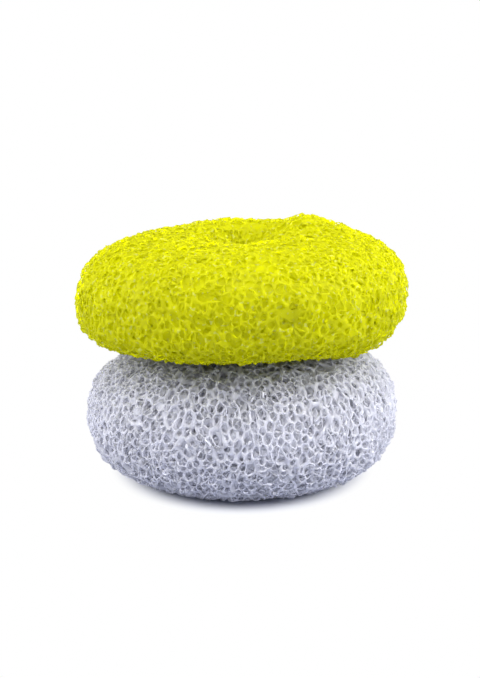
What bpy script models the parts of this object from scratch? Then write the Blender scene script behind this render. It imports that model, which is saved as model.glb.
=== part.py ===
"""Two round nylon mesh scrubbers, stacked: a lavender-grey pad below and a lime-yellow pad on it.

Each pad is a knitted sleeve turned back over itself and gathered in the middle with a thread.
Metres, +Z up, origin on the floor under the middle of the lower pad.
"""

import bisect
import math

import bmesh
import bpy
from mathutils import Vector
from mathutils.kdtree import KDTree

# Lower pad: half its width, and its levels above the surface that it stands on
LOWER_RADIUS = 0.0448
LOWER_CROWN_RADIUS = 0.0190
LOWER_WIDEST_LEVEL = 0.0175
LOWER_HEIGHT = 0.0369

# Upper pad: half its width, and its levels above its own underside
UPPER_RADIUS = 0.0475
UPPER_CROWN_RADIUS = 0.0193
UPPER_WIDEST_LEVEL = 0.0135
UPPER_HEIGHT = 0.0321

# The gap that the resting upper pad keeps above the lower one
STACK_GAP = 0.0005

# How full the rounded shoulders are: 2 is an ellipse, more is squarer
LOWER_TOP_FULLNESS = 2.15
LOWER_BOTTOM_FULLNESS = 2.75
UPPER_TOP_FULLNESS = 2.5
UPPER_BOTTOM_FULLNESS = 3.0

# How the soft pads lie: the upper one leans back and to its left. Its crown swells toward the back,
# with a small fold raised beside the swelling, and one side of its underside droops
LEAN_BACK_SHARE = -0.10
LEAN_SIDE_SHARE = 0.030
FOLD_HEIGHT = 0.0038
FOLD_SPREAD = 0.0058
FOLD_X = 0.0192
FOLD_Y = 0.0100
SWELL_HEIGHT = 0.0028
SWELL_SPREAD = 0.0085
SWELL_X = -0.0027
SWELL_Y = 0.0120
DROOP_DEPTH = 0.0024
DROOP_SPREAD = 0.0095
DROOP_X = 0.0340
DROOP_Y = -0.0200

# The knitted sleeve: its wall, and the slack between one turn and the next
SLEEVE_WALL = 0.0014
TURN_GAP = 0.00045

# The knit's larger meshes: slanting ridges of tape round hollows that sink into the wall
HOLLOW_DEPTH = 0.0010

# The gathered middle: a neck from each face, the upper one drawn down over the lower one
DIMPLE_DEPTH = 0.0110
NECK_BORE_RADIUS = 0.0026
NECK_GAP = 0.0004
NECK_OVERLAP = 0.0060

# The gathering thread, wound round the outer neck
TIE_DIAMETER = 0.0010
TIE_TURNS = 3
TIE_PITCH = 0.0016
TIE_GAP = 0.0004

# The foot, where the lower pad's own weight presses it flat
FOOT_PRESS = 0.0005

# Facets round a pad, round a thread loop, and along the quarters of an outline
ROUND_STEPS = 28
LOOP_STEPS = 24
DIMPLE_STEPS = 4
SHOULDER_STEPS = 6

# Rows of corners on each shoulder, one hollow to two rows. Past this share of the reach, the corners
# stand twice as close round the pad
MESH_ROWS = 6
CLOSE_SHARE = 0.5

QUARTER = math.pi / 2
FULL_TURN = 2 * math.pi
MERGE = 0.00001

YELLOW = (0.78, 0.80, 0.02, 1.0)
YELLOW_INNER = (0.62, 0.65, 0.015, 1.0)
GREY = (0.60, 0.60, 0.68, 1.0)
GREY_INNER = (0.42, 0.42, 0.50, 1.0)
THREAD_WHITE = (0.82, 0.82, 0.80, 1.0)


def pad_sizes(name, radius, crown_radius, widest_level, height, top_fullness, bottom_fullness, press):
    """One pad's sizes under plain names. Its underside starts lower by what the floor presses flat."""
    return {
        "name": name,
        "radius": radius,
        "crown_radius": crown_radius,
        "widest_level": widest_level,
        "height": height,
        "bottom": -press,
        "top_fullness": top_fullness,
        "bottom_fullness": bottom_fullness,
    }


LOWER = pad_sizes(
    "lower",
    LOWER_RADIUS,
    LOWER_CROWN_RADIUS,
    LOWER_WIDEST_LEVEL,
    LOWER_HEIGHT,
    LOWER_TOP_FULLNESS,
    LOWER_BOTTOM_FULLNESS,
    FOOT_PRESS,
)
UPPER = pad_sizes(
    "upper",
    UPPER_RADIUS,
    UPPER_CROWN_RADIUS,
    UPPER_WIDEST_LEVEL,
    UPPER_HEIGHT,
    UPPER_TOP_FULLNESS,
    UPPER_BOTTOM_FULLNESS,
    0,
)


def clear_scene():
    for old in list(bpy.data.objects):
        bpy.data.objects.remove(old, do_unlink=True)


def new_collection(name):
    collection = bpy.data.collections.new(name)
    bpy.context.scene.collection.children.link(collection)
    return collection


def nylon(name, color, roughness):
    material = bpy.data.materials.new(name)
    material.use_nodes = True
    shader = material.node_tree.nodes["Principled BSDF"]
    shader.inputs["Base Color"].default_value = color
    shader.inputs["Roughness"].default_value = roughness
    shader.inputs["Metallic"].default_value = 0
    material.diffuse_color = color
    return material


# Outlines. Each point is (distance from the axis, level).


def quarter_points(center, across, up, fullness, steps, start, end, inset):
    """Points along a rounded quarter, drawn in by the inset, where the outline turns evenly."""
    power = 1 / (2 - 2 / fullness)
    points = []
    for step in range(steps + 1):
        facing = start + (end - start) * step / steps
        side = (math.cos(facing) * abs(across)) ** power
        rise = (math.sin(facing) * abs(up)) ** power
        angle = math.atan2(rise, side)
        radial = across * math.cos(angle) ** (2 / fullness)
        level = up * math.sin(angle) ** (2 / fullness)
        radial -= math.copysign(inset * math.cos(facing), across)
        level -= math.copysign(inset * math.sin(facing), up)
        points.append((center[0] + radial, center[1] + level))
    return points


def turn_outline(pad, inset, detail):
    """The outline of one turn, from the top of the throat over the crown and round to its underside."""
    crown = pad["crown_radius"]
    widest = pad["widest_level"]
    reach = pad["radius"] - crown
    outer_neck = NECK_BORE_RADIUS + SLEEVE_WALL + NECK_GAP
    dimple_steps = DIMPLE_STEPS // detail
    shoulder_steps = SHOULDER_STEPS // detail
    top = pad["height"] - DIMPLE_DEPTH
    low = pad["bottom"] + DIMPLE_DEPTH
    points = quarter_points(
        (crown, top), outer_neck - crown, DIMPLE_DEPTH, 2, dimple_steps, 0, QUARTER, inset
    )
    points += quarter_points(
        (crown, widest), reach, pad["height"] - widest, pad["top_fullness"], shoulder_steps, QUARTER, 0, inset
    )[1:]
    points += quarter_points(
        (crown, widest), reach, pad["bottom"] - widest, pad["bottom_fullness"], shoulder_steps, 0, QUARTER, inset
    )[1:]
    points += quarter_points(
        (crown, low), NECK_BORE_RADIUS - crown, -DIMPLE_DEPTH, 2, dimple_steps, QUARTER, 0, inset
    )[1:]
    return points


def neck_middle(pad):
    return (pad["height"] + pad["bottom"]) / 2


def even_rows(points, count):
    """The same line with its points an even way apart."""
    ways = [0]
    for point, following in zip(points, points[1:]):
        ways.append(ways[-1] + math.dist(point, following))
    rows = []
    for step in range(count + 1):
        way = ways[-1] * step / count
        spot = min(bisect.bisect_right(ways, way), len(points) - 1)
        part = (way - ways[spot - 1]) / (ways[spot] - ways[spot - 1])
        (radial, level), (next_radial, next_level) = points[spot - 1], points[spot]
        rows.append((radial + (next_radial - radial) * part, level + (next_level - level) * part))
    return rows


def shoulder_rows(pad):
    """The rows of the knit, from the top crown round the widest level to the lower crown."""
    crown = pad["crown_radius"]
    widest = pad["widest_level"]
    reach = pad["radius"] - crown
    fine = SHOULDER_STEPS * MESH_ROWS
    above = quarter_points(
        (crown, widest), reach, pad["height"] - widest, pad["top_fullness"], fine, QUARTER, 0, 0
    )
    below = quarter_points(
        (crown, widest), reach, pad["bottom"] - widest, pad["bottom_fullness"], fine, 0, QUARTER, 0
    )
    return even_rows(above, MESH_ROWS) + even_rows(below, MESH_ROWS)[1:]


def with_necks(pad, points):
    """Adds the two necks, which overlap in the middle of the throat."""
    middle = neck_middle(pad)
    mouth_above = (points[0][0], middle - NECK_OVERLAP / 2)
    mouth_below = (points[-1][0], middle + NECK_OVERLAP / 2)
    return [mouth_above] + points + [mouth_below]


def cover_outline(pad):
    """The outermost turn's wall: its knitted side, then its plainer inner side."""
    plain = turn_outline(pad, 0, 1)
    outside = plain[:DIMPLE_STEPS] + shoulder_rows(pad) + plain[-DIMPLE_STEPS:]
    inside = turn_outline(pad, SLEEVE_WALL, 2)
    return with_necks(pad, inside) + with_necks(pad, outside)[::-1]


# Lying shape


def smooth_share(value):
    share = min(max(value, 0), 1)
    return share * share * (3 - 2 * share)


def bump(point, x, y, spread):
    away = (point.x - x) ** 2 + (point.y - y) ** 2
    return math.exp(-away / (2 * spread ** 2))


def settle(pad, point):
    """Moves a point of the round form to where it is on the lying pad."""
    widest = pad["widest_level"]
    above = smooth_share((point.z - widest) / (pad["height"] - widest))
    below = smooth_share((widest - point.z) / (widest - pad["bottom"]))
    lean = LEAN_BACK_SHARE * point.y + LEAN_SIDE_SHARE * point.x
    if pad is LOWER:
        return Vector((point.x, point.y, point.z + lean * above))
    raised = FOLD_HEIGHT * bump(point, FOLD_X, FOLD_Y, FOLD_SPREAD)
    raised += SWELL_HEIGHT * bump(point, SWELL_X, SWELL_Y, SWELL_SPREAD)
    droop = DROOP_DEPTH * bump(point, DROOP_X, DROOP_Y, DROOP_SPREAD)
    return Vector((point.x, point.y, point.z + lean + raised * above - droop * below))


# Pieces


def add_outline(name, points, closed):
    """A mesh of edges in the XZ plane, ready to be turned about Z."""
    mesh = bpy.data.meshes.new(name)
    edges = [(i, i + 1) for i in range(len(points) - 1)]
    if closed:
        edges.append((len(points) - 1, 0))
    mesh.from_pydata([(radius, 0, level) for radius, level in points], edges, [])
    piece = bpy.data.objects.new(name, mesh)
    PADS.objects.link(piece)
    return piece


def turn_round(piece):
    screw = piece.modifiers.new("round", "SCREW")
    screw.axis = "Z"
    screw.angle = FULL_TURN
    screw.steps = ROUND_STEPS
    screw.render_steps = ROUND_STEPS
    screw.use_merge_vertices = True
    screw.merge_threshold = MERGE


def thicken(piece, wall):
    shell = piece.modifiers.new("wall", "SOLIDIFY")
    shell.thickness = wall
    shell.offset = -1
    shell.use_even_offset = True


def fix_shape(piece, pad):
    """Keeps the evaluated shape as a mesh, laid down as the soft pad lies."""
    evaluated = piece.evaluated_get(bpy.context.evaluated_depsgraph_get())
    made = bpy.data.meshes.new_from_object(evaluated)
    piece.modifiers.clear()
    piece.data = made
    for vertex in made.vertices:
        vertex.co = settle(pad, vertex.co)


def press_foot(piece):
    """Cuts the underside off level with the floor and closes the ring that it leaves."""
    mesh = bmesh.new()
    mesh.from_mesh(piece.data)
    everything = mesh.verts[:] + mesh.edges[:] + mesh.faces[:]
    cut = bmesh.ops.bisect_plane(
        mesh, geom=everything, dist=MERGE, plane_co=(0, 0, 0), plane_no=(0, 0, -1), clear_outer=True
    )
    rims = [item for item in cut["geom_cut"] if isinstance(item, bmesh.types.BMEdge)]
    bmesh.ops.bridge_loops(mesh, edges=rims)
    bmesh.ops.recalc_face_normals(mesh, faces=mesh.faces[:])
    mesh.to_mesh(piece.data)
    mesh.free()


def finish(piece, material, place):
    piece.data.materials.clear()
    piece.data.materials.append(material)
    piece.data.shade_smooth()
    piece.data.set_sharp_from_angle(angle=math.radians(50))
    piece.parent = place


def row_corners(mesh, pad):
    """The corners on each row of the knit, which are still on level rings round the axis."""
    rings = []
    for radial, level in shoulder_rows(pad):
        rings.append([
            vertex for vertex in mesh.verts
            if math.dist((vertex.co.xy.length, vertex.co.z), (radial, level)) < MERGE
        ])
    return rings


def double_corners(mesh, pad):
    """A corner more in each facet of the rows that are far from the axis."""
    close = pad["crown_radius"] + CLOSE_SHARE * (pad["radius"] - pad["crown_radius"])
    edges = []
    for ring in row_corners(mesh, pad):
        corners = set(ring)
        if ring[0].co.xy.length > close:
            edges += [edge for edge in mesh.edges if corners.issuperset(edge.verts)]
    cut = bmesh.ops.subdivide_edges(mesh, edges=edges, cuts=1)
    out_to_round = 1 / math.cos(math.pi / ROUND_STEPS)
    for item in cut["geom_inner"]:
        if isinstance(item, bmesh.types.BMVert):
            item.co.xy *= out_to_round


def sink_hollows(mesh, pad):
    """Sinks every second corner of the knit's rows and runs ridges slantwise between the others."""
    mesh.normal_update()
    crests = []
    for row, ring in enumerate(row_corners(mesh, pad)):
        for vertex in ring:
            turned = math.atan2(vertex.co.y, vertex.co.x) / FULL_TURN
            column = round(turned * len(ring))
            on_foot = pad is LOWER and vertex.co.z < HOLLOW_DEPTH
            if (column + row + MESH_ROWS) % 2 and not on_foot:
                vertex.co -= vertex.normal * HOLLOW_DEPTH
            else:
                crests.append(vertex)
    bmesh.ops.connect_verts(mesh, verts=crests, check_degenerate=True)


def knit(piece, pad):
    """Gives the turned wall the relief of its larger meshes."""
    evaluated = piece.evaluated_get(bpy.context.evaluated_depsgraph_get())
    made = bpy.data.meshes.new_from_object(evaluated)
    mesh = bmesh.new()
    mesh.from_mesh(made)
    bmesh.ops.recalc_face_normals(mesh, faces=mesh.faces[:])
    double_corners(mesh, pad)
    sink_hollows(mesh, pad)
    mesh.to_mesh(made)
    mesh.free()
    piece.modifiers.clear()
    piece.data = made


def cover_net(pad, material, place):
    """The outermost turn, a shell that stays open between its two necks."""
    piece = add_outline(pad["name"] + "_cover_net", cover_outline(pad), True)
    turn_round(piece)
    knit(piece, pad)
    fix_shape(piece, pad)
    if pad is LOWER:
        press_foot(piece)
    finish(piece, material, place)


def inner_turn(pad, name, number, material, place):
    """A turn inside the cover, open toward the throat."""
    inset = number * (SLEEVE_WALL + TURN_GAP)
    piece = add_outline(pad["name"] + name, turn_outline(pad, inset, 2), False)
    turn_round(piece)
    thicken(piece, SLEEVE_WALL)
    fix_shape(piece, pad)
    finish(piece, material, place)


def core_roll(pad, material, place):
    """The rolled-up inner length of the sleeve, a full ring round the throat."""
    inset = 3 * (SLEEVE_WALL + TURN_GAP)
    piece = add_outline(pad["name"] + "_core_roll", turn_outline(pad, inset, 2), True)
    turn_round(piece)
    fix_shape(piece, pad)
    finish(piece, material, place)


def tie_route(pad):
    """The thread's centre line: a straight tail, the turns round the outer neck, and a straight tail."""
    neck_outside = NECK_BORE_RADIUS + SLEEVE_WALL + NECK_GAP + SLEEVE_WALL
    radius = neck_outside + TIE_GAP + TIE_DIAMETER / 2
    start = neck_middle(pad) - TIE_TURNS * TIE_PITCH / 2
    count = TIE_TURNS * LOOP_STEPS
    route = []
    for step in range(count + 1):
        angle = FULL_TURN * step / LOOP_STEPS
        level = start + TIE_PITCH * step / LOOP_STEPS
        route.append(Vector((radius * math.cos(angle), radius * math.sin(angle), level)))
    out = Vector((TIE_DIAMETER, 0, 0))
    return [route[0] + out] + route + [route[-1] + out]


def least_gap(route):
    """The least distance between two lengths of thread that lie a quarter loop or more apart."""
    tree = KDTree(len(route))
    for index, point in enumerate(route):
        tree.insert(point, index)
    tree.balance()
    apart = LOOP_STEPS // 4
    gaps = []
    for index, point in enumerate(route):
        found = tree.find_range(point, 2 * TIE_PITCH)
        gaps += [distance for _, other, distance in found if abs(other - index) >= apart]
    return min(gaps) - TIE_DIAMETER


def gather_tie(pad, material, place):
    """The thread that binds the two necks, one unbroken tube."""
    name = pad["name"] + "_gather_tie"
    route = [settle(pad, point) for point in tie_route(pad)]
    print(name, "least gap to itself:", round(least_gap(route) * 1000, 2), "mm")
    curve = bpy.data.curves.new(name, "CURVE")
    curve.dimensions = "3D"
    curve.bevel_depth = TIE_DIAMETER / 2
    curve.bevel_resolution = 1
    curve.use_fill_caps = True
    line = curve.splines.new("POLY")
    line.points.add(len(route) - 1)
    for spot, point in zip(line.points, route):
        spot.co = (point.x, point.y, point.z, 1)
    piece = bpy.data.objects.new(name, curve)
    curve.materials.append(material)
    PADS.objects.link(piece)
    piece.parent = place


def add_place(name, location):
    place = bpy.data.objects.new(name, None)
    place.location = location
    PADS.objects.link(place)
    return place


def add_pad(pad, place, outer, inner, thread):
    cover_net(pad, outer, place)
    inner_turn(pad, "_second_turn", 1, inner, place)
    inner_turn(pad, "_third_turn", 2, inner, place)
    core_roll(pad, inner, place)
    gather_tie(pad, thread, place)


clear_scene()
PADS = new_collection("nylon_scrubber_pair")
thread = nylon("white thread", THREAD_WHITE, 0.6)
lower_place = add_place("lower_place", (0, 0, 0))
lift_place = add_place("upper_lift", (0, 0, LOWER_HEIGHT + STACK_GAP))
add_pad(LOWER, lower_place, nylon("grey nylon", GREY, 0.35), nylon("grey inner", GREY_INNER, 0.45), thread)
add_pad(UPPER, lift_place, nylon("yellow nylon", YELLOW, 0.35), nylon("yellow inner", YELLOW_INNER, 0.45), thread)
bpy.context.view_layer.update()
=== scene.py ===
import bisect
import math
import random

import bmesh
import bpy
import numpy
from mathutils import Matrix, Vector, noise


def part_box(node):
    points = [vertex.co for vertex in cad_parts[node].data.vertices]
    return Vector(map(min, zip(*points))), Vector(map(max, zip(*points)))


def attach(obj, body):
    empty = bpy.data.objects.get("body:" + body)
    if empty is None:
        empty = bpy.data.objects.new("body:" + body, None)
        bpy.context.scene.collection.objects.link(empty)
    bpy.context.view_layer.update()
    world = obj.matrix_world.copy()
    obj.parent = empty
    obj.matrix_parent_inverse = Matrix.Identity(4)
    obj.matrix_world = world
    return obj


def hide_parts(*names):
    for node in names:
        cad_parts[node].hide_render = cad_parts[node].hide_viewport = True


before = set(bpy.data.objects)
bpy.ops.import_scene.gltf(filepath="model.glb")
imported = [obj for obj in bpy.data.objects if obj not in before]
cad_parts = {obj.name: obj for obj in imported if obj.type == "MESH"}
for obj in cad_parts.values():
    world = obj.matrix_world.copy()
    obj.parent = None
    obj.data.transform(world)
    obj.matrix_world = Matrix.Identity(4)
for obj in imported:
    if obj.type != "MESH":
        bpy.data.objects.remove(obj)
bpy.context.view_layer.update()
print("frame loaded")

# All lengths are in metres. Shares are parts of one.

lowerPad = {
    "name": "lower",
    "body": "lower_scrubber",
    "slot": "grey_nylon",
    "place": 0,
    "crownRadius": 0.0190,
    "widestLevel": 0.0175,
    "height": 0.0369,
    "bottom": -0.0005,
    "topFullness": 2.15,
    "bottomFullness": 2.60,
    "topDimple": 0.0110,
    "restsOnFloor": True,
    "holeShare": 1.0,
    "closedShare": 0,
    "closedTopShare": 0.1,
    "openLowShare": 0,
    "depthShare": 0.95,
    "depthLowShare": 0.8,
    "coverInset": 0.0005,
    "insetShare": 1.0,
    "seed": 11,
}

upperPad = {
    "name": "upper",
    "body": "upper_scrubber",
    "slot": "yellow_nylon",
    "place": 0.0374,
    "crownRadius": 0.0193,
    "widestLevel": 0.0135,
    "height": 0.0321,
    "bottom": 0,
    "topFullness": 2.5,
    "bottomFullness": 3.0,
    "topDimple": 0.0072,
    "restsOnFloor": False,
    # the raised fold and the swelling of the top, and the droop of the underside: x, y, spread, height
    "bumps": [(0.0192, 0.0100, 0.0062, 0.0037), (-0.0027, 0.0120, 0.0085, 0.0028)],
    "droop": (0.0340, -0.0200, 0.0095, 0.0024),
    "holeShare": 0.75,
    "closedShare": 0.9,
    "closedTopShare": 0.6,
    "openLowShare": 0.35,
    "depthShare": 0.22,
    "depthLowShare": 0.25,
    "coverInset": 0.0006,
    "insetShare": 0.35,
    "seed": 23,
}

gather = {
    "bottomDimple": 0.0110,
    "innerNeck": 0.0026,
    "outerNeck": 0.0044,
    "leanBack": -0.10,
    "leanSide": 0.030,
    "pleats": 15,
    "pleatHeight": 0.0002,
    "pleatReach": 0.0150,
    "pleatStray": 5,
    "throatShare": 0.6,
}


def padRadius(pad):
    low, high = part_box(pad["name"] + "_cover_net")
    return (high.x - low.x) / 2


# The round form that a turn of the sleeve lies on, as an outline from the axis out and back

def roundQuarter(center, across, up, fullness, start, end, inset, steps=12):
    power = 1 / (2 - 2 / fullness)
    points = []
    for step in range(steps + 1):
        facing = math.radians(start + (end - start) * step / steps)
        side = (math.cos(facing) * abs(across)) ** power
        rise = max(math.sin(facing) * abs(up), 0) ** power
        angle = math.atan2(rise, side)
        radial = across * math.cos(angle) ** (2 / fullness)
        level = up * math.sin(angle) ** (2 / fullness)
        radial -= math.copysign(inset * math.cos(facing), across)
        level -= math.copysign(inset * math.sin(facing), up)
        points.append((center[0] + radial, center[1] + level))
    return points


def turnOutline(pad, inset):
    crown, widest = pad["crownRadius"], pad["widestLevel"]
    top, low = pad["topDimple"], gather["bottomDimple"]
    reach = padRadius(pad) - crown
    topMiddle = (crown, pad["height"] - top)
    lowMiddle = (crown, pad["bottom"] + low)
    widestMiddle = (crown, widest)
    over, under = pad["height"] - widest, pad["bottom"] - widest
    points = roundQuarter(topMiddle, gather["outerNeck"] - crown, top, 2, 0, 90, inset)
    points += roundQuarter(widestMiddle, reach, over, pad["topFullness"], 90, 0, inset)[1:]
    points += roundQuarter(widestMiddle, reach, under, pad["bottomFullness"], 0, 90, inset)[1:]
    points += roundQuarter(lowMiddle, gather["innerNeck"] - crown, -low, 2, 90, 0, inset)[1:]
    return [(0, points[0][1])] + points + [(0, points[-1][1])]


def wrapOnOutline(mesh, outline):
    # equal steps of height on a unit sphere hold equal areas, and so do the steps along the outline
    areas = [0]
    for (radius, level), (nextRadius, nextLevel) in zip(outline, outline[1:]):
        way = math.hypot(nextRadius - radius, nextLevel - level)
        areas.append(areas[-1] + way * (radius + nextRadius) / 2)
    for vert in mesh.verts:
        share = (1 - vert.co.z) / 2
        spot = min(max(bisect.bisect_left(areas, share * areas[-1]), 1), len(areas) - 1)
        part = (share * areas[-1] - areas[spot - 1]) / max(areas[spot] - areas[spot - 1], 1e-12)
        radius = outline[spot - 1][0] + (outline[spot][0] - outline[spot - 1][0]) * part
        level = outline[spot - 1][1] + (outline[spot][1] - outline[spot - 1][1]) * part
        azimuth = math.atan2(vert.co.y, vert.co.x)
        vert.co = (radius * math.cos(azimuth), radius * math.sin(azimuth), level)


def snap(mesh, outline):
    # each corner goes to the nearest place on the form that the outline makes round the axis
    corners = numpy.array([vert.co[:] for vert in mesh.verts])
    across = numpy.sqrt(corners[:, 0] ** 2 + corners[:, 1] ** 2)
    starts = numpy.array(outline[:-1])
    steps = numpy.array(outline[1:]) - starts
    out = across[:, None] - starts[:, 0]
    up = corners[:, 2:] - starts[:, 1]
    along = (out * steps[:, 0] + up * steps[:, 1]) / (steps[:, 0] ** 2 + steps[:, 1] ** 2)
    along = numpy.clip(along, 0, 1)
    away = (out - along * steps[:, 0]) ** 2 + (up - along * steps[:, 1]) ** 2
    best = away.argmin(axis=1)
    along = along[numpy.arange(len(best)), best]
    grow = (starts[best, 0] + along * steps[best, 0]) / numpy.maximum(across, 1e-9)
    level = starts[best, 1] + along * steps[best, 1]
    for number, vert in enumerate(mesh.verts):
        vert.co = (vert.co.x * grow[number], vert.co.y * grow[number], level[number])


def soften(mesh, factor):
    bmesh.ops.smooth_vert(
        mesh, verts=mesh.verts[:], factor=factor, use_axis_x=True, use_axis_y=True, use_axis_z=True
    )


relaxing = {"turns": 27, "flipEvery": 3, "step": 0.5, "lightStep": 0.4}


def flipThreads(mesh):
    bmesh.ops.beautify_fill(mesh, faces=mesh.faces[:], edges=mesh.edges[:], method="ANGLE")


def evenNet(pad, cuts):
    # a closed net of nearly even triangles on the pad's outer form
    outline = turnOutline(pad, 0)
    mesh = bmesh.new()
    bmesh.ops.create_icosphere(mesh, subdivisions=1, radius=1)
    bmesh.ops.subdivide_edges(mesh, edges=mesh.edges[:], cuts=cuts, use_grid_fill=True)
    for vert in mesh.verts:
        vert.co.normalize()
    wrapOnOutline(mesh, outline)
    for turn in range(1, relaxing["turns"] + 1):
        soften(mesh, relaxing["step"])
        snap(mesh, outline)
        if turn % relaxing["flipEvery"] == 0:
            flipThreads(mesh)
    return mesh


def jitter(mesh, outline, amount, dice):
    # an even net becomes an uneven one
    for vert in mesh.verts:
        vert.co += Vector([dice.uniform(-amount, amount) for axis in range(3)])
    snap(mesh, outline)
    flipThreads(mesh)
    soften(mesh, relaxing["lightStep"])
    snap(mesh, outline)


def meshes(mesh):
    # turns a net of triangles into the meshes of a knit: one many-sided cell round each of its corners
    corners = mesh.verts[:]
    threads = mesh.edges[:]
    bmesh.ops.poke(mesh, faces=mesh.faces[:])
    bmesh.ops.rotate_edges(mesh, edges=threads, use_ccw=False)
    bmesh.ops.dissolve_verts(mesh, verts=corners)


def breakUp(mesh, ply, loop, dice):
    # some lengths of tape are missing, so that two cells run together, and some cross a cell as loops
    missing = [edge for edge in mesh.edges if dice.random() < ply["missingShare"]]
    bmesh.ops.dissolve_edges(mesh, edges=missing, use_verts=True)
    crossed = [cell for cell in mesh.faces if dice.random() < ply["crossedShare"]]
    across = []
    for cell in crossed:
        around = cell.verts[:]
        first = dice.randrange(len(around))
        ends = [around[first], around[(first + len(around) // 2) % len(around)]]
        across += bmesh.ops.connect_verts(mesh, verts=ends)["edges"]
    old = set(mesh.verts)
    bmesh.ops.bisect_edges(mesh, edges=across, cuts=1)
    for vert in mesh.verts:
        if vert not in old:
            vert[loop] = dice.uniform(0, ply["loopHeight"])


def smoothShare(value):
    share = min(max(value, 0), 1)
    return share * share * (3 - 2 * share)


def bump(co, x, y, spread):
    away = (co.x - x) ** 2 + (co.y - y) ** 2
    return math.exp(-away / (2 * spread ** 2))


def pleat(pad, co):
    # the folds that run out from the gathered middle
    across = math.hypot(co.x, co.y)
    near = smoothShare(1 - (across - gather["outerNeck"]) / gather["pleatReach"])
    if near == 0 or across == 0:
        return co.copy()
    azimuth = math.atan2(co.y, co.x)
    place = Vector((math.cos(azimuth), math.sin(azimuth), pad["seed"]))
    stray = noise.noise(place) * gather["pleatStray"]
    fold = math.sin(gather["pleats"] * azimuth + stray) * gather["pleatHeight"] * near
    out = Vector((across - pad["crownRadius"], co.z - pad["widestLevel"])).normalized()
    radius = across + out.x * fold * min(across / gather["innerNeck"], 1)
    return Vector((co.x * radius / across, co.y * radius / across, co.z + out.y * fold))


def settle(pad, co):
    # from the even form to the pad's own one, at its place in the stack
    widest = pad["widestLevel"]
    above = smoothShare((co.z - widest) / (pad["height"] - widest))
    below = smoothShare((widest - co.z) / (widest - pad["bottom"]))
    lean = gather["leanBack"] * co.y + gather["leanSide"] * co.x
    laid = pleat(pad, co)
    level = laid.z + pad["place"]
    if pad["restsOnFloor"]:
        return Vector((laid.x, laid.y, level + lean * above))
    raised = sum(height * bump(co, x, y, spread) for x, y, spread, height in pad["bumps"])
    x, y, spread, depth = pad["droop"]
    return Vector((laid.x, laid.y, level + lean + raised * above - depth * bump(co, x, y, spread) * below))


def aside(normal, dice, most):
    # a step of up to this length to any side, along the surface
    stray = Vector([dice.gauss(0, 1) for axis in range(3)])
    return (stray - normal * stray.dot(normal)).normalized() * dice.uniform(0, most)


def bowTape(mesh, crossings, ply, dice):
    # each length of tape between two crossings rises and hangs as a small arc, and strays to one side
    mesh.normal_update()
    crossings = set(crossings)
    for vert in mesh.verts:
        down = Vector((0, 0, -1)) - vert.normal * -vert.normal.z
        arc = -ply["arc"] if vert in crossings else ply["arc"]
        sag = 0 if vert in crossings else ply["sag"]
        wave = noise.noise(vert.co * ply["waveScale"]) * ply["wave"]
        vert.co += vert.normal * (arc + wave + dice.gauss(0, ply["crestNoise"]))
        vert.co += down * sag + aside(vert.normal, dice, ply["stray"])


holes = {"upright": 0.12, "lipShare": 0.8, "mostSides": 8}


def openCells(mesh, pad, ply, lip, dice):
    # a strip of tape stays round each hole: narrow where it stands on edge, wide where it lies flat
    # a cell with too many sides is made of two that ran together, and is never closed
    cells = mesh.faces[:]
    mostSides = holes["mostSides"] * 2 if ply["roundCells"] else holes["mostSides"]
    mesh.normal_update()
    bmesh.ops.inset_individual(mesh, faces=cells, thickness=0, depth=0)
    opened = []
    for cell in cells:
        normal = cell.normal.copy()
        middle = cell.calc_center_median()
        size = sum((vert.co - middle).length for vert in cell.verts) / len(cell.verts)
        high = smoothShare((middle.z - pad["widestLevel"]) / (pad["height"] - pad["widestLevel"]))
        low = smoothShare((pad["widestLevel"] - middle.z) / (pad["widestLevel"] - pad["bottom"]))
        deep = pad["depthShare"] + pad["depthLowShare"] * low
        wide = dice.random() < ply["flatShare"]
        share = dice.uniform(*ply["flatHole"] if wide else ply["hole"])
        if wide:
            share *= pad["holeShare"]
        share = max(share, 1 - ply["widestStrip"] / size)
        level = Vector((-normal.y, normal.x, 0)).normalized()
        slide = aside(normal, dice, ply["slide"]) * size * (1 - share)
        slant = aside(normal, dice, ply["slant"])
        for vert in cell.verts:
            out = vert.co - middle
            even = out.normalized() * size * ply["round"] + out * (1 - ply["round"])
            spot = even * share + slide
            spot -= level * spot.dot(level) * holes["upright"]
            width = (out - spot).length
            rise = (slant.dot(out) / size - ply["dip"]) * deep
            vert.co = middle + spot + normal * width * rise
            vert[lip] = holes["lipShare"] * ply["lip"]
        closed = pad["closedShare"] + pad["closedTopShare"] * high - pad["openLowShare"] * low
        if dice.random() >= ply["closedShare"] * closed or len(cell.verts) > mostSides:
            opened.append(cell)
    bmesh.ops.delete(mesh, geom=opened, context="FACES")


def giveWall(mesh, pad, ply, lip, dice):
    # the tape's other edge, turned a little so that its side shows
    mesh.normal_update()
    crest = set(mesh.verts)
    normals = {vert.co.to_tuple(): vert.normal.copy() for vert in crest}
    bmesh.ops.solidify(mesh, geom=mesh.faces[:], thickness=0)
    for vert in mesh.verts:
        if vert not in crest:
            normal = normals[vert.co.to_tuple()]
            vert.co += aside(normal, dice, ply["twist"]) - normal * ply["depth"] * pad["depthShare"]
            vert[lip] = 0


def clearThroat(mesh, ply):
    # the inner turns stop short of the throat
    if ply["node"] == "_cover_net":
        return
    edge = gather["outerNeck"] + gather["throatShare"] * ply["inset"]
    near = [cell for cell in mesh.faces if cell.calc_center_median().xy.length < edge]
    bmesh.ops.delete(mesh, geom=near, context="FACES")


def addPiece(name, mesh):
    data = bpy.data.meshes.new(name)
    mesh.to_mesh(data)
    mesh.free()
    data.shade_smooth()
    piece = bpy.data.objects.new(name, data)
    bpy.context.scene.collection.objects.link(piece)
    return piece


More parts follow.
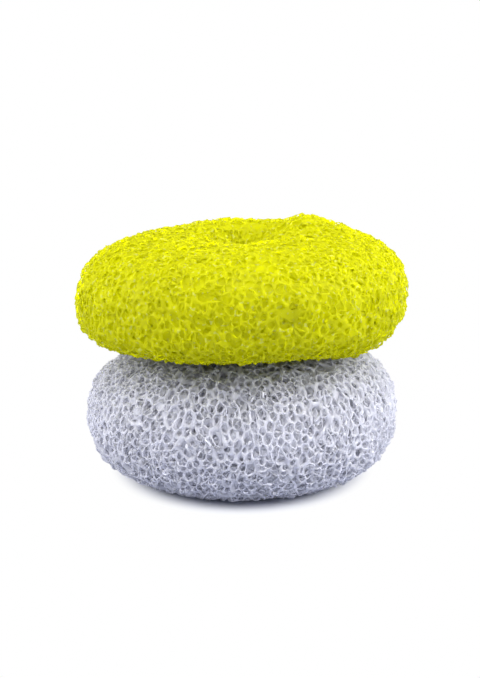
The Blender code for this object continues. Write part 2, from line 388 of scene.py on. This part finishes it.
def knitPly(pad, ply, evenNets):
    # each ply draws its own random numbers, so that a change to one leaves the others as they are
    dice = random.Random(pad["seed"] * 100 + ply["number"])
    outline = turnOutline(pad, ply["inset"])
    mesh = evenNets[ply["cuts"]].copy()
    turned = Matrix.Rotation(dice.uniform(0, math.tau), 3, "Z")
    bmesh.ops.rotate(mesh, verts=mesh.verts[:], cent=(0, 0, 0), matrix=turned)
    snap(mesh, outline)
    jitter(mesh, outline, ply["jitter"], dice)
    meshes(mesh)
    snap(mesh, outline)
    loop = mesh.verts.layers.float.new("loop")
    breakUp(mesh, ply, loop, dice)
    bmesh.ops.recalc_face_normals(mesh, faces=mesh.faces[:])
    knots = len(mesh.verts)
    if ply["roundCells"]:
        bmesh.ops.bisect_edges(mesh, edges=mesh.edges[:], cuts=1)
    mesh.normal_update()
    for vert in mesh.verts:
        vert.co += vert.normal * vert[loop]
    mesh.verts.layers.float.remove(loop)
    soften(mesh, relaxing["lightStep"])
    bowTape(mesh, mesh.verts[:knots], ply, dice)
    clearThroat(mesh, ply)
    # the lip value is highest on the outer crest and 0 deep down and in the inner turns; it drives the
    # painted glow and painted glints of the nylon
    lip = mesh.verts.layers.float.new("lip")
    for vert in mesh.verts:
        vert[lip] = ply["lip"]
    openCells(mesh, pad, ply, lip, dice)
    giveWall(mesh, pad, ply, lip, dice)
    for vert in mesh.verts:
        vert.co = settle(pad, vert.co)
        if pad["restsOnFloor"]:
            vert.co.z = max(vert.co.z, 0)
    return addPiece(pad["name"] + ply["piece"], mesh)


coverNet = {
    "piece": "CoverNet",
    "node": "_cover_net",
    "number": 0,
    "lip": 1,
    "inset": 0.0001,
    "cuts": 19,
    "jitter": 0.0012,
    "missingShare": 0.03,
    "crossedShare": 0.22,
    "loopHeight": 0.0011,
    "roundCells": True,
    "arc": 0.00010,
    "sag": 0.00025,
    "stray": 0.00020,
    "crestNoise": 0.00009,
    "wave": 0.0007,
    "waveScale": 450,
    "hole": (0.86, 0.95),
    "flatHole": (0.50, 0.78),
    "flatShare": 0.7,
    "closedShare": 0.05,
    "dip": 0.6,
    "round": 0.3,
    "slide": 0.8,
    "slant": 0.35,
    "depth": 0.00030,
    "twist": 0.00015,
    "widestStrip": 0.00070,
}

# what the nets under the outer one have in common, unless their own dictionary says otherwise
plainNet = {
    "lip": 0,
    "missingShare": 0,
    "crossedShare": 0,
    "loopHeight": 0,
    "roundCells": False,
    "arc": 0,
    "sag": 0,
    "stray": 0.0002,
    "crestNoise": 0.00012,
    "wave": 0.0003,
    "waveScale": 300,
    "hole": (0.50, 0.75),
    "flatHole": (0.25, 0.50),
    "flatShare": 0.8,
    "closedShare": 1,
    "dip": 0,
    "round": 0.5,
    "slide": 1,
    "twist": 0.00022,
}

coverLoops = {
    **plainNet,
    "piece": "CoverLoops",
    "node": "_cover_net",
    "number": 1,
    "lip": 0.7,
    "inset": 0.00040,
    "cuts": 19,
    "jitter": 0.0013,
    "missingShare": 0.04,
    "crossedShare": 0.05,
    "stray": 0.00010,
    "wave": 0.0006,
    "waveScale": 450,
    "hole": (0.84, 0.93),
    "flatHole": (0.50, 0.78),
    "flatShare": 0.5,
    "closedShare": 0.6,
    "dip": 0.4,
    "round": 0.3,
    "slant": 0.6,
    "depth": 0.00030,
    "widestStrip": 0.00070,
}

coverBacking = {
    **plainNet,
    "piece": "CoverBacking",
    "node": "_cover_net",
    "number": 2,
    "lip": 0.35,
    "inset": 0.00100,
    "cuts": 19,
    "jitter": 0.0013,
    "missingShare": 0.02,
    "crossedShare": 0.05,
    "stray": 0.00010,
    "hole": (0.75, 0.90),
    "flatHole": (0.50, 0.75),
    "flatShare": 0.5,
    "closedShare": 1.2,
    "dip": 0.2,
    "slant": 0.5,
    "depth": 0.00025,
    "widestStrip": 0.0010,
}

secondTurn = {
    **plainNet,
    "piece": "SecondTurn",
    "node": "_second_turn",
    "number": 3,
    "inset": 0.0019,
    "cuts": 16,
    "jitter": 0.0014,
    "slant": 0.6,
    "depth": 0.00030,
    "widestStrip": 0.0015,
}

thirdTurn = {
    **plainNet,
    "piece": "ThirdTurn",
    "node": "_third_turn",
    "number": 4,
    "inset": 0.0037,
    "cuts": 10,
    "jitter": 0.0018,
    "slant": 0.5,
    "depth": 0.00060,
    "widestStrip": 0.0020,
}

coreRoll = {
    **plainNet,
    "piece": "CoreRoll",
    "node": "_core_roll",
    "number": 5,
    "inset": 0.0056,
    "cuts": 8,
    "jitter": 0.0012,
    "crestNoise": 0.0002,
    "slant": 0.4,
    "depth": 0.00060,
    "widestStrip": 0.0020,
}


# the glint settings make painted glints: sparse pale spots mixed into the colour on the lip
tapeLook = {
    "mottleScale": 900,
    "mottleDetail": 2,
    "mottleShare": 0.5,
    "deepUpTo": 0.25,
    "smoothest": 0.10,
    "roughest": 0.40,
    "paintedGlintScale": 900,
    "paintedGlintFrom": 0.68,
    "paintedGlintFull": 0.74,
    "paintedGlintShare": 0.8,
    "crinkle": 0.35,
    "crinkleDepth": 0.0002,
    "specular": 0.3,
}

# painted light in each nylon: the deep colour is lighter for a painted glow in the hollows, the lip colour
# darker against the light on the crests, and the glint colour is for painted glints
limeNylon = {
    "name": "limeNylon",
    "deepGlowColor": (0.965, 0.965, 0.01, 1),
    "lipDimmedColor": (0.91, 0.91, 0.030, 1),
    "paintedGlintColor": (0.98, 0.98, 0.40, 1),
    "letThrough": 0.88,
}

lavenderNylon = {
    "name": "lavenderNylon",
    "deepGlowColor": (0.954, 0.954, 0.98, 1),
    "lipDimmedColor": (0.83, 0.83, 0.87, 1),
    "paintedGlintColor": (0.95, 0.95, 0.96, 1),
    "letThrough": 0.70,
}


def newMaterial(name):
    material = bpy.data.materials.new(name)
    material.use_nodes = True
    return material, material.node_tree.nodes, material.node_tree.links


def nylonMaterial(nylon):
    # mottled tape that lets light through, with painted light: a lighter colour deep down for a painted
    # glow in the hollows, a darker lip, and painted glints on the lip
    material, nodes, links = newMaterial(nylon["name"])
    nodes.clear()
    attribute = nodes.new("ShaderNodeAttribute")
    attribute.attribute_name = "lip"
    place = nodes.new("ShaderNodeTexCoord")
    mottle = nodes.new("ShaderNodeTexNoise")
    mottle.inputs["Scale"].default_value = tapeLook["mottleScale"]
    mottle.inputs["Detail"].default_value = tapeLook["mottleDetail"]
    shade = nodes.new("ShaderNodeMath")
    shade.operation = "MULTIPLY_ADD"
    shade.inputs[1].default_value = tapeLook["mottleShare"]
    # painted glow: the colour runs from the lighter deep tape up to the darker lip
    paintedGlowRamp = nodes.new("ShaderNodeValToRGB")
    paintedGlowRamp.color_ramp.elements[0].color = nylon["deepGlowColor"]
    paintedGlowRamp.color_ramp.elements[1].color = nylon["lipDimmedColor"]
    paintedGlowRamp.color_ramp.elements[0].position = tapeLook["deepUpTo"]
    rough = nodes.new("ShaderNodeMapRange")
    rough.inputs["To Min"].default_value = tapeLook["smoothest"]
    rough.inputs["To Max"].default_value = tapeLook["roughest"]
    # painted glints: sparse spots of noise on the lip mix the colour toward a pale one
    glintNoise = nodes.new("ShaderNodeTexNoise")
    glintNoise.inputs["Scale"].default_value = tapeLook["paintedGlintScale"]
    glintNoise.inputs["Detail"].default_value = 0
    glintMask = nodes.new("ShaderNodeMapRange")
    glintMask.inputs["From Min"].default_value = tapeLook["paintedGlintFrom"]
    glintMask.inputs["From Max"].default_value = tapeLook["paintedGlintFull"]
    glintMask.inputs["To Max"].default_value = tapeLook["paintedGlintShare"]
    glintOnLip = nodes.new("ShaderNodeMath")
    glintOnLip.operation = "MULTIPLY"
    paintedGlint = nodes.new("ShaderNodeMix")
    paintedGlint.data_type = "RGBA"
    paintedGlint.inputs[7].default_value = nylon["paintedGlintColor"]
    crinkle = nodes.new("ShaderNodeBump")
    crinkle.inputs["Strength"].default_value = tapeLook["crinkle"]
    crinkle.inputs["Distance"].default_value = tapeLook["crinkleDepth"]
    plastic = nodes.new("ShaderNodeBsdfPrincipled")
    plastic.inputs["Specular IOR Level"].default_value = tapeLook["specular"]
    glow = nodes.new("ShaderNodeBsdfTranslucent")
    mix = nodes.new("ShaderNodeMixShader")
    mix.inputs[0].default_value = nylon["letThrough"]
    output = nodes.new("ShaderNodeOutputMaterial")
    links.new(place.outputs["Object"], mottle.inputs["Vector"])
    links.new(mottle.outputs["Fac"], shade.inputs[0])
    links.new(attribute.outputs["Fac"], shade.inputs[2])
    links.new(shade.outputs[0], paintedGlowRamp.inputs[0])
    links.new(mottle.outputs["Fac"], rough.inputs["Value"])
    links.new(rough.outputs[0], plastic.inputs["Roughness"])
    links.new(mottle.outputs["Fac"], crinkle.inputs["Height"])
    links.new(crinkle.outputs[0], plastic.inputs["Normal"])
    links.new(place.outputs["Object"], glintNoise.inputs["Vector"])
    links.new(glintNoise.outputs["Fac"], glintMask.inputs["Value"])
    links.new(glintMask.outputs[0], glintOnLip.inputs[0])
    links.new(attribute.outputs["Fac"], glintOnLip.inputs[1])
    links.new(glintOnLip.outputs[0], paintedGlint.inputs[0])
    links.new(paintedGlowRamp.outputs[0], paintedGlint.inputs[6])
    links.new(paintedGlint.outputs[2], plastic.inputs["Base Color"])
    links.new(paintedGlint.outputs[2], glow.inputs["Color"])
    links.new(plastic.outputs[0], mix.inputs[1])
    links.new(glow.outputs[0], mix.inputs[2])
    links.new(mix.outputs[0], output.inputs["Surface"])
    return material


yellow = nylonMaterial(limeNylon)
grey = nylonMaterial(lavenderNylon)

for pad, nylon in ((lowerPad, grey), (upperPad, yellow)):
    plies = [dict(ply) for ply in (coverNet, coverLoops, coverBacking, secondTurn, thirdTurn, coreRoll)]
    for ply in plies[:3]:
        ply["inset"] = pad["coverInset"] + ply["inset"] * pad["insetShare"]
    evenNets = {cuts: evenNet(pad, cuts) for cuts in sorted({ply["cuts"] for ply in plies})}
    for ply in plies:
        piece = knitPly(pad, ply, evenNets)
        piece.data.materials.append(nylon)
        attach(piece, pad["body"])
        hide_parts(pad["name"] + ply["node"])
        triangles = sum(len(cell.vertices) - 2 for cell in piece.data.polygons)
        print(piece.name, triangles, "triangles")
    for mesh in evenNets.values():
        mesh.free()


# The gathering thread: two strands twisted together, wound round the necks inside each pad

tieThread = {
    "turns": 3,
    "pitch": 0.0016,
    "radius": 0.0067,
    "strand": 0.00027,
    "apart": 0.00023,
    "twistLength": 0.0026,
    "tailTurn": 0.05,
    "tailOut": 0.0010,
    "steps": 120,
    "darkColor": (0.66, 0.66, 0.63, 1),
    "paleColor": (0.86, 0.86, 0.84, 1),
    "roughness": 0.75,
    "sheen": 0.3,
    "fibreScale": 4000,
    "fibreDetail": 3,
    "fibreBump": 0.5,
    "fibreDepth": 0.0001,
}


def strandPoint(pad, turn, phase):
    # a place on one strand, this many turns from the winding's start
    middle = (pad["height"] + pad["bottom"]) / 2
    within = min(max(turn, 0), tieThread["turns"])
    tail = abs(turn - within) / tieThread["tailTurn"]
    radius = tieThread["radius"] + tieThread["tailOut"] * tail * tail
    level = middle + (within - tieThread["turns"] / 2) * tieThread["pitch"]
    twist = math.tau * (turn * math.tau * tieThread["radius"] / tieThread["twistLength"] + phase)
    radius += tieThread["apart"] * math.cos(twist)
    level += tieThread["apart"] * math.sin(twist)
    angle = turn * math.tau
    return settle(pad, Vector((radius * math.cos(angle), radius * math.sin(angle), level)))


def windThread(pad):
    curve = bpy.data.curves.new(pad["name"] + "GatherTie", "CURVE")
    curve.dimensions = "3D"
    curve.bevel_depth = tieThread["strand"]
    curve.bevel_resolution = 2
    curve.use_fill_caps = True
    first = -tieThread["tailTurn"]
    last = tieThread["turns"] + tieThread["tailTurn"]
    count = round((last - first) * tieThread["steps"])
    for phase in (0, 0.5):
        line = curve.splines.new("POLY")
        line.points.add(count)
        for step, spot in enumerate(line.points):
            spot.co = (*strandPoint(pad, first + (last - first) * step / count, phase), 1)
    piece = bpy.data.objects.new(curve.name, curve)
    bpy.context.scene.collection.objects.link(piece)
    return piece


def threadMaterial():
    material, nodes, links = newMaterial("spunThread")
    shader = nodes["Principled BSDF"]
    shader.inputs["Roughness"].default_value = tieThread["roughness"]
    shader.inputs["Sheen Weight"].default_value = tieThread["sheen"]
    place = nodes.new("ShaderNodeTexCoord")
    fibre = nodes.new("ShaderNodeTexNoise")
    fibre.inputs["Scale"].default_value = tieThread["fibreScale"]
    fibre.inputs["Detail"].default_value = tieThread["fibreDetail"]
    tint = nodes.new("ShaderNodeValToRGB")
    tint.color_ramp.elements[0].color = tieThread["darkColor"]
    tint.color_ramp.elements[1].color = tieThread["paleColor"]
    rough = nodes.new("ShaderNodeBump")
    rough.inputs["Strength"].default_value = tieThread["fibreBump"]
    rough.inputs["Distance"].default_value = tieThread["fibreDepth"]
    links.new(place.outputs["Object"], fibre.inputs["Vector"])
    links.new(fibre.outputs["Fac"], tint.inputs[0])
    links.new(tint.outputs[0], shader.inputs["Base Color"])
    links.new(fibre.outputs["Fac"], rough.inputs["Height"])
    links.new(rough.outputs[0], shader.inputs["Normal"])
    return material


thread = threadMaterial()
for pad in (lowerPad, upperPad):
    tie = windThread(pad)
    tie.data.materials.append(thread)
    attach(tie, pad["body"])
    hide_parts(pad["name"] + "_gather_tie")
    print(tie.name, "wound")


paleFloor = {
    "size": 6,
    "color": (0.54, 0.57, 0.70, 1),
    "roughness": 0.9,
    "specular": 0.1,
    "narrower": 1.12,
    "shadowUpTo": 0.0330,
    "whiteFrom": 0.0440,
}


def floorMaterial():
    # the camera sees the floor and its shadow near the object, and plain white further out
    material, nodes, links = newMaterial("paleFloor")
    shader = nodes["Principled BSDF"]
    shader.inputs["Base Color"].default_value = paleFloor["color"]
    shader.inputs["Roughness"].default_value = paleFloor["roughness"]
    shader.inputs["Specular IOR Level"].default_value = paleFloor["specular"]
    white = nodes.new("ShaderNodeEmission")
    path = nodes.new("ShaderNodeLightPath")
    place = nodes.new("ShaderNodeTexCoord")
    narrow = nodes.new("ShaderNodeVectorMath")
    narrow.operation = "MULTIPLY"
    narrow.inputs[1].default_value = (paleFloor["narrower"], 1, 1)
    away = nodes.new("ShaderNodeVectorMath")
    away.operation = "LENGTH"
    paler = nodes.new("ShaderNodeMapRange")
    paler.interpolation_type = "SMOOTHSTEP"
    paler.inputs["From Min"].default_value = paleFloor["shadowUpTo"]
    paler.inputs["From Max"].default_value = paleFloor["whiteFrom"]
    lift = nodes.new("ShaderNodeMath")
    lift.operation = "MULTIPLY"
    mix = nodes.new("ShaderNodeMixShader")
    links.new(place.outputs["Object"], narrow.inputs[0])
    links.new(narrow.outputs[0], away.inputs[0])
    links.new(away.outputs["Value"], paler.inputs["Value"])
    links.new(paler.outputs[0], lift.inputs[0])
    links.new(path.outputs["Is Camera Ray"], lift.inputs[1])
    links.new(lift.outputs[0], mix.inputs[0])
    links.new(shader.outputs[0], mix.inputs[1])
    links.new(white.outputs[0], mix.inputs[2])
    links.new(mix.outputs[0], nodes["Material Output"].inputs["Surface"])
    return material


def addFloor():
    mesh = bmesh.new()
    bmesh.ops.create_grid(mesh, x_segments=1, y_segments=1, size=paleFloor["size"])
    data = bpy.data.meshes.new("floor")
    mesh.to_mesh(data)
    mesh.free()
    floor = bpy.data.objects.new("floor", data)
    bpy.context.scene.collection.objects.link(floor)
    data.materials.append(floorMaterial())


studio = {"softColor": (0.95, 0.97, 1, 1), "softStrength": 0.51, "aim": (0, 0, 0.04)}

overheadSoftbox = {"name": "overheadSoftbox", "place": (0.05, -0.37, 0.97), "size": 0.8, "power": 10.3}
leftReflector = {"name": "leftReflector", "place": (-0.75, -0.05, 0.45), "size": 0.9, "power": 9.8}
rightReflector = {"name": "rightReflector", "place": (0.75, -0.05, 0.45), "size": 0.9, "power": 12.6}


def addWorld():
    # soft light from all round, while the camera sees plain white
    world = bpy.data.worlds.new("studio")
    world.use_nodes = True
    bpy.context.scene.world = world
    nodes, links = world.node_tree.nodes, world.node_tree.links
    nodes.clear()
    path = nodes.new("ShaderNodeLightPath")
    soft = nodes.new("ShaderNodeBackground")
    soft.inputs["Color"].default_value = studio["softColor"]
    soft.inputs["Strength"].default_value = studio["softStrength"]
    white = nodes.new("ShaderNodeBackground")
    white.inputs["Color"].default_value = (1, 1, 1, 1)
    white.inputs["Strength"].default_value = 1
    mix = nodes.new("ShaderNodeMixShader")
    output = nodes.new("ShaderNodeOutputWorld")
    links.new(path.outputs["Is Camera Ray"], mix.inputs[0])
    links.new(soft.outputs[0], mix.inputs[1])
    links.new(white.outputs[0], mix.inputs[2])
    links.new(mix.outputs[0], output.inputs["Surface"])


def addLamp(lamp):
    light = bpy.data.lights.new(lamp["name"], "AREA")
    light.shape = "DISK"
    light.size = lamp["size"]
    light.energy = lamp["power"]
    holder = bpy.data.objects.new(lamp["name"], light)
    holder.location = lamp["place"]
    facing = Vector(studio["aim"]) - Vector(lamp["place"])
    holder.rotation_euler = facing.to_track_quat("-Z", "Y").to_euler()
    bpy.context.scene.collection.objects.link(holder)


view = {
    "elevation": 17,
    "distance": 0.700,
    "target": (-0.0005, 0, 0.0381),
    "lens": 128.5,
    "sensor": 36,
    "farthest": 50,
}


def addCamera():
    camera = bpy.data.cameras.new("camera")
    camera.lens = view["lens"]
    camera.sensor_width = view["sensor"]
    camera.clip_end = view["farthest"]
    holder = bpy.data.objects.new("camera", camera)
    tilt = math.radians(view["elevation"])
    target = Vector(view["target"])
    holder.location = target + view["distance"] * Vector((0, -math.cos(tilt), math.sin(tilt)))
    holder.rotation_euler = (target - holder.location).to_track_quat("-Z", "Y").to_euler()
    bpy.context.scene.collection.objects.link(holder)
    bpy.context.scene.camera = holder


addFloor()
addWorld()
for lamp in (overheadSoftbox, leftReflector, rightReflector):
    addLamp(lamp)
addCamera()
bpy.context.scene.view_settings.view_transform = "Standard"
print("stage set")
